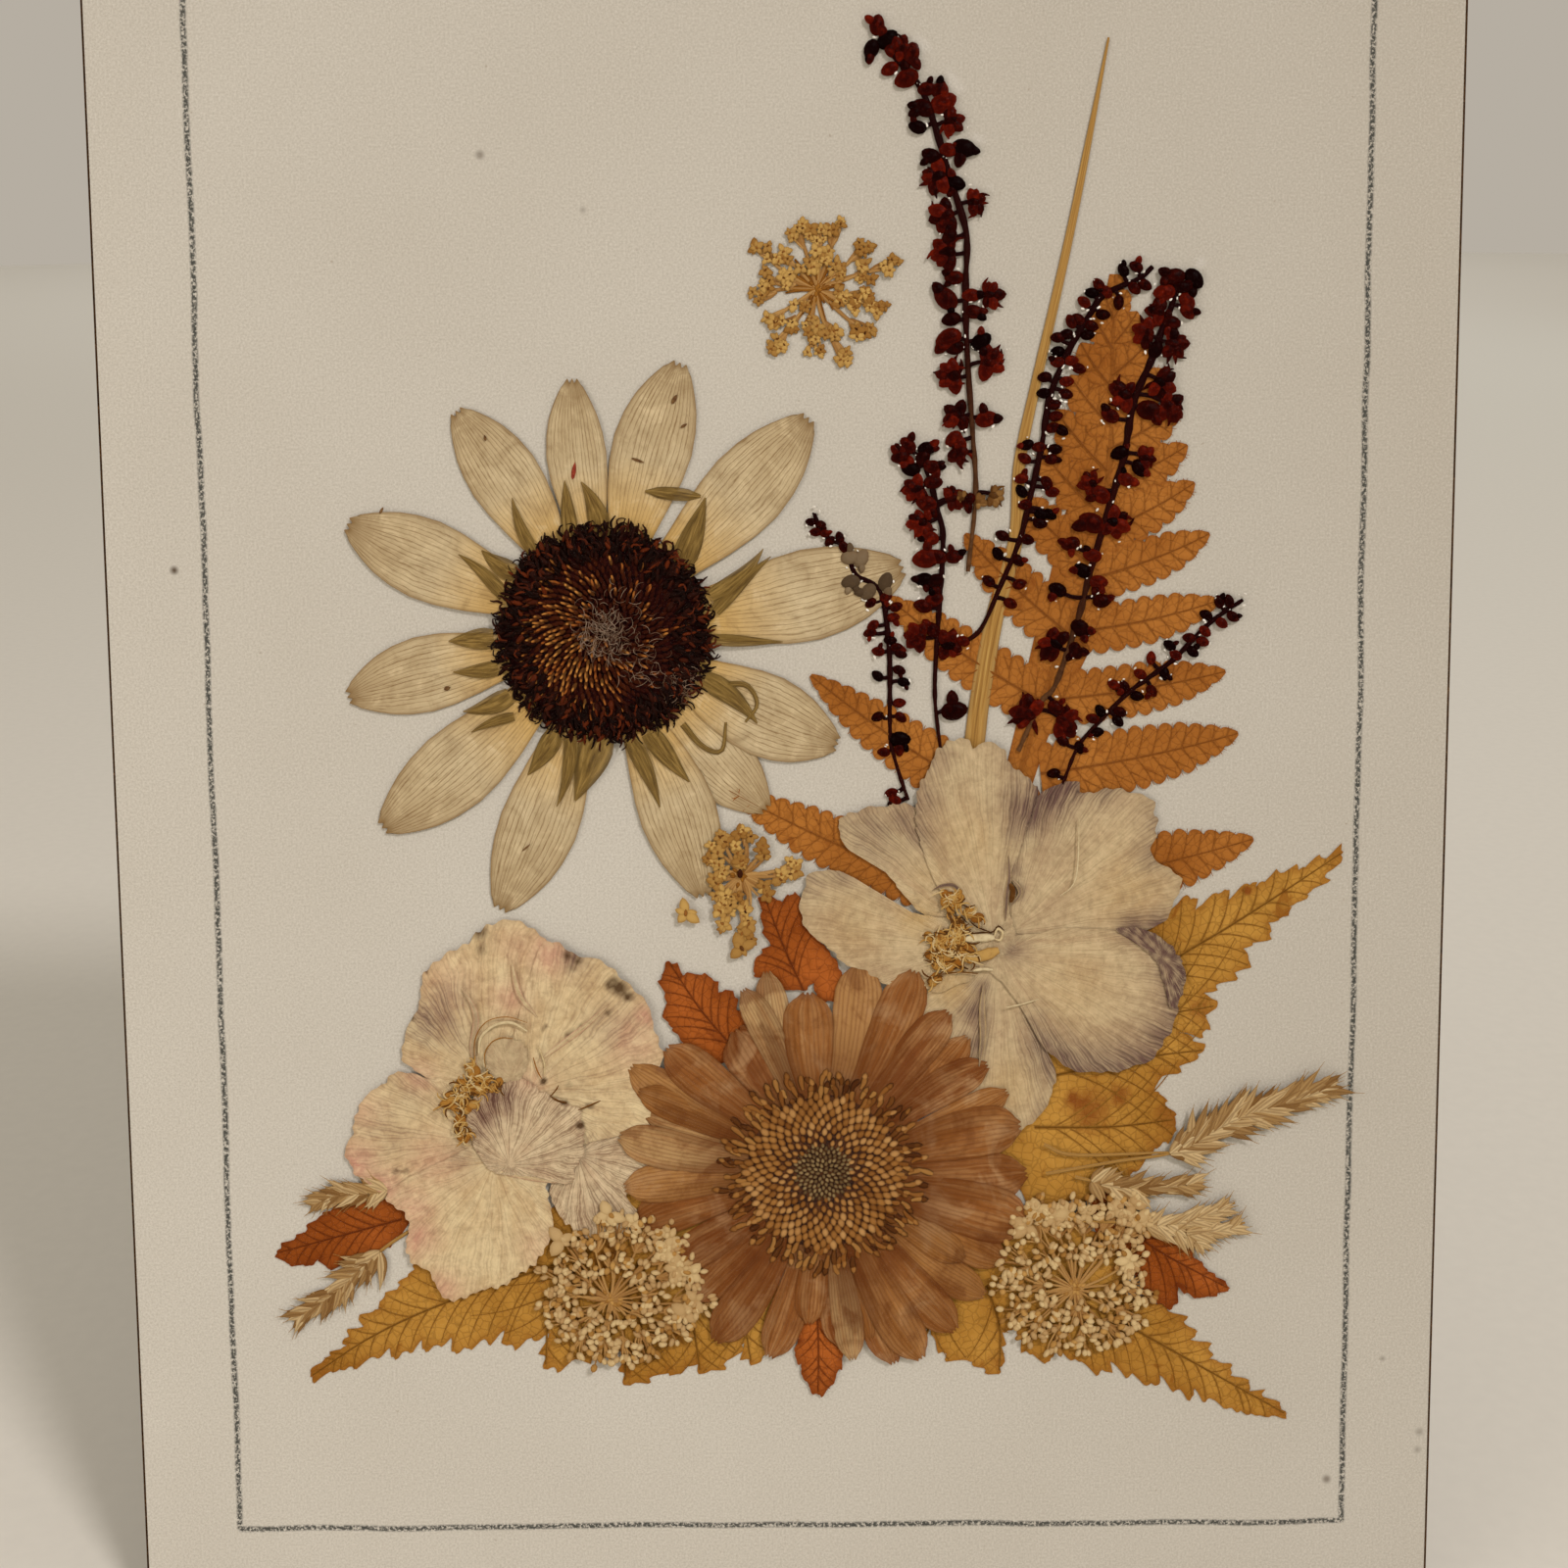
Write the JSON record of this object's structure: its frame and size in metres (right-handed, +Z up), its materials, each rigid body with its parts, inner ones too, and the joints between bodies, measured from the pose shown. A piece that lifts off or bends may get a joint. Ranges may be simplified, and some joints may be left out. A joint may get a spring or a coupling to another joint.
{
  "type": "pressed flower frame",
  "caption": "Pressed flowers, leaves, grasses and seed spikes laid on cream paper under clear film, on a thin board that leans back on a hinged strut.",
  "frame": {"origin": "middle of the footprint, on the surface that it stands on", "axes": "+Z up; -Y out of the front of the picture; +X to the right as seen from the front"},
  "size_m": [0.18, 0.0716, 0.2345],
  "materials": {
    "hardboard": "matt hardboard",
    "paper": "matt, fine grain",
    "film": "clear, glossy",
    "hinge_steel": "satin",
    "coneflower_petal": "dry petal",
    "sepal": "dry, dull",
    "dark_disc": "dry, bristly",
    "daisy_petal": "dry petal",
    "daisy_disc": "dry, grainy",
    "cream_petal": "dry petal",
    "pink_petal": "dry petal",
    "stamen": "dry",
    "fern": "dry leaf",
    "ochre_leaf": "dry leaf",
    "red_leaf": "dry leaf",
    "umbel": "dry",
    "seed": "dry, slightly glossy",
    "grass": "dry straw"
  },
  "bodies": {
    "picture": {"backing_board": "hardboard", "clear_film": "film", "coneflower_disc": "dark_disc", "coneflower_petals": "coneflower_petal", "coneflower_sepals": "sepal", "cream_delphinium_petal_bottom": "cream_petal", "cream_delphinium_petal_left": "cream_petal", "cream_delphinium_petal_right": "cream_petal", "cream_delphinium_petal_top": "cream_petal", "cream_delphinium_petal_upper_left": "cream_petal", "cream_delphinium_petal_upper_right": "cream_petal", "cream_delphinium_stamens": "stamen", "daisy_disc": "daisy_disc", "daisy_petals": "daisy_petal", "fern_frond": "fern", "grass_blade": "grass", "grass_head_left_lower": "grass", "grass_head_left_upper": "grass", "grass_head_right_lower": "grass", "grass_head_right_middle": "grass", "grass_head_right_upper": "grass", "hinge_board_leaf": "hinge_steel", "hinge_pin": "hinge_steel", "lobed_leaf_bottom": "red_leaf", "lobed_leaf_centre": "red_leaf", "maple_leaf_left": "ochre_leaf", "maple_leaf_lower_right": "ochre_leaf", "maple_leaf_right": "ochre_leaf", "paper_mount": "paper", "pink_delphinium_petal_bottom": "pink_petal", "pink_delphinium_petal_folded": "pink_petal", "pink_delphinium_petal_left": "pink_petal", "pink_delphinium_petal_lower_right": "pink_petal", "pink_delphinium_petal_top": "pink_petal", "pink_delphinium_petal_upper_right": "pink_petal", "pink_delphinium_stamens": "stamen", "red_leaf_centre": "red_leaf", "red_leaf_left": "red_leaf", "red_leaf_right": "red_leaf", "seed_spike_1": "seed", "seed_spike_2": "seed", "seed_spike_3": "seed", "seed_spike_4": "seed", "seed_spike_5": "seed", "seed_spike_6": "seed", "umbel_centre": "umbel", "umbel_lower_left": "umbel", "umbel_lower_right": "umbel", "umbel_top": "umbel"},
    "strut": {"easel_strut": "hardboard", "hinge_strut_leaf": "hinge_steel"}
  },
  "joints": [
    {"name": "strut_hinge", "type": "hinge", "parent": "picture", "child": "strut", "pos_m": [0, 0.00399, 0.14566], "axis": [1, 0, 0], "range_deg": [-25, 0]}
  ]
}
